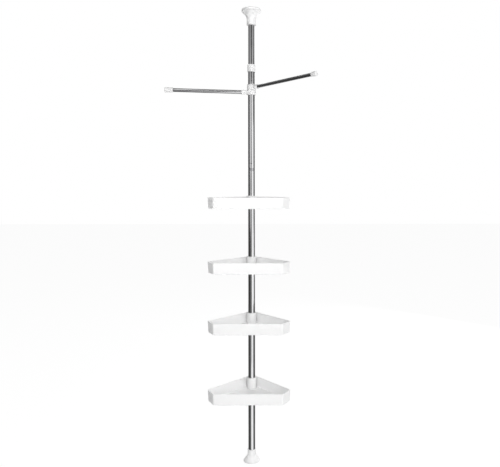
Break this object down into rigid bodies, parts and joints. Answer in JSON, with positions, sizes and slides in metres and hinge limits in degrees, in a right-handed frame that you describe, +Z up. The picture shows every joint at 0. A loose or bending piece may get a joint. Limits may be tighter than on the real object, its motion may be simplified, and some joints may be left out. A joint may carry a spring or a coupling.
{
  "type": "tension pole corner shower caddy",
  "caption": "Corner shower caddy: a sprung telescoping steel pole that wedges between floor and ceiling, with walled corner trays on clips and swinging towel arms.",
  "frame": {"origin": "on the pole's axis, in the face of the floor pad that rests on the floor", "axes": "+Z up the pole, -Y out of the corner towards the user, +X to the user's right"},
  "size_m": [0.5598, 0.296, 1.713],
  "materials": {
    "pole_steel": "polished stainless tube with fine lengthwise drawing lines",
    "arm_steel": "polished stainless tube",
    "joint_steel": "satin stainless sleeve",
    "white_plastic": "glossy moulded white plastic",
    "tray_plastic": "satin-gloss moulded white plastic",
    "clip_plastic": "matte moulded plastic",
    "inner_plastic": "matte moulded plastic",
    "soft_pad": "soft white rubber",
    "spring_steel": "drawn spring wire",
    "button_black": "black button"
  },
  "bodies": {
    "pole": {"floor_pad": "soft_pad", "floor_cup": "white_plastic", "lower_tube": "pole_steel", "lower_joint_spigot": "joint_steel", "middle_tube": "pole_steel", "upper_joint_spigot": "joint_steel", "upper_tube": "pole_steel", "button_spring": "spring_steel", "lock_collet": "white_plastic"},
    "snap_button": {"snap_button": "button_black"},
    "lock_collar": {"lock_collar": "white_plastic"},
    "telescope": {"inner_tube": "pole_steel", "inner_tube_bush": "inner_plastic", "spring_seat": "inner_plastic", "tension_spring": "spring_steel"},
    "ceiling_cup": {"ceiling_cup": "white_plastic", "ceiling_pad": "soft_pad", "neck_bush": "white_plastic"},
    "arm_hub": {"hub_sleeve": "white_plastic", "hub_cap": "white_plastic"},
    "left_arm": {"left_arm_socket": "white_plastic", "left_bar": "arm_steel", "left_bar_cap": "white_plastic"},
    "right_arm": {"right_arm_socket": "white_plastic", "right_bar": "arm_steel", "right_bar_cap": "white_plastic"},
    "clip_1": {"clip_front_1": "clip_plastic", "clip_rear_1": "clip_plastic"},
    "tray_1": {"tray_1": "tray_plastic"},
    "clip_2": {"clip_front_2": "clip_plastic", "clip_rear_2": "clip_plastic"},
    "tray_2": {"tray_2": "tray_plastic"},
    "clip_3": {"clip_front_3": "clip_plastic", "clip_rear_3": "clip_plastic"},
    "tray_3": {"tray_3": "tray_plastic"},
    "clip_4": {"clip_front_4": "clip_plastic", "clip_rear_4": "clip_plastic"},
    "tray_4": {"tray_4": "tray_plastic"}
  },
  "joints": [
    {"name": "button_press", "type": "slide", "parent": "pole", "child": "snap_button", "axis": [0, 1, 0], "range_m": [0, 0.0025], "stiffness_N_per_m": 1500, "springref_m": -0.002, "deforming": ["button_spring"]},
    {"name": "lock_twist", "type": "hinge", "parent": "pole", "child": "lock_collar", "pos_m": [0, 0, 1.474], "axis": [0, 0, 1], "range_deg": [0, 90]},
    {"name": "telescope_slide", "type": "slide", "parent": "pole", "child": "telescope", "axis": [0, 0, 1], "range_m": [-0.09, 0.2]},
    {"name": "cup_spring", "type": "slide", "parent": "telescope", "child": "ceiling_cup", "axis": [0, 0, 1], "range_m": [-0.02, 0], "stiffness_N_per_m": 4000, "springref_m": 0.01, "deforming": ["tension_spring"]},
    {"name": "hub_slide", "type": "slide", "parent": "pole", "child": "arm_hub", "axis": [0, 0, 1], "range_m": [-0.2, 0.04]},
    {"name": "left_arm_swing", "type": "hinge", "parent": "arm_hub", "child": "left_arm", "pos_m": [0, 0, 1.39695], "axis": [0, 0, 1], "continuous": true},
    {"name": "right_arm_swing", "type": "hinge", "parent": "arm_hub", "child": "right_arm", "pos_m": [0, 0, 1.4145], "axis": [0, 0, 1], "continuous": true},
    {"name": "clip_1_slide", "type": "slide", "parent": "pole", "child": "clip_1", "axis": [0, 0, 1], "range_m": [-0.08, 0.08]},
    {"name": "tray_1_turn", "type": "hinge", "parent": "clip_1", "child": "tray_1", "pos_m": [0, 0, 0.981], "axis": [0, 0, 1], "continuous": true},
    {"name": "clip_2_slide", "type": "slide", "parent": "pole", "child": "clip_2", "axis": [0, 0, 1], "range_m": [-0.07, 0.08]},
    {"name": "tray_2_turn", "type": "hinge", "parent": "clip_2", "child": "tray_2", "pos_m": [0, 0, 0.751], "axis": [0, 0, 1], "continuous": true},
    {"name": "clip_3_slide", "type": "slide", "parent": "pole", "child": "clip_3", "axis": [0, 0, 1], "range_m": [-0.09, 0.07]},
    {"name": "tray_3_turn", "type": "hinge", "parent": "clip_3", "child": "tray_3", "pos_m": [0, 0, 0.538], "axis": [0, 0, 1], "continuous": true},
    {"name": "clip_4_slide", "type": "slide", "parent": "pole", "child": "clip_4", "axis": [0, 0, 1], "range_m": [-0.2, 0.08]},
    {"name": "tray_4_turn", "type": "hinge", "parent": "clip_4", "child": "tray_4", "pos_m": [0, 0, 0.292], "axis": [0, 0, 1], "continuous": true}
  ]
}
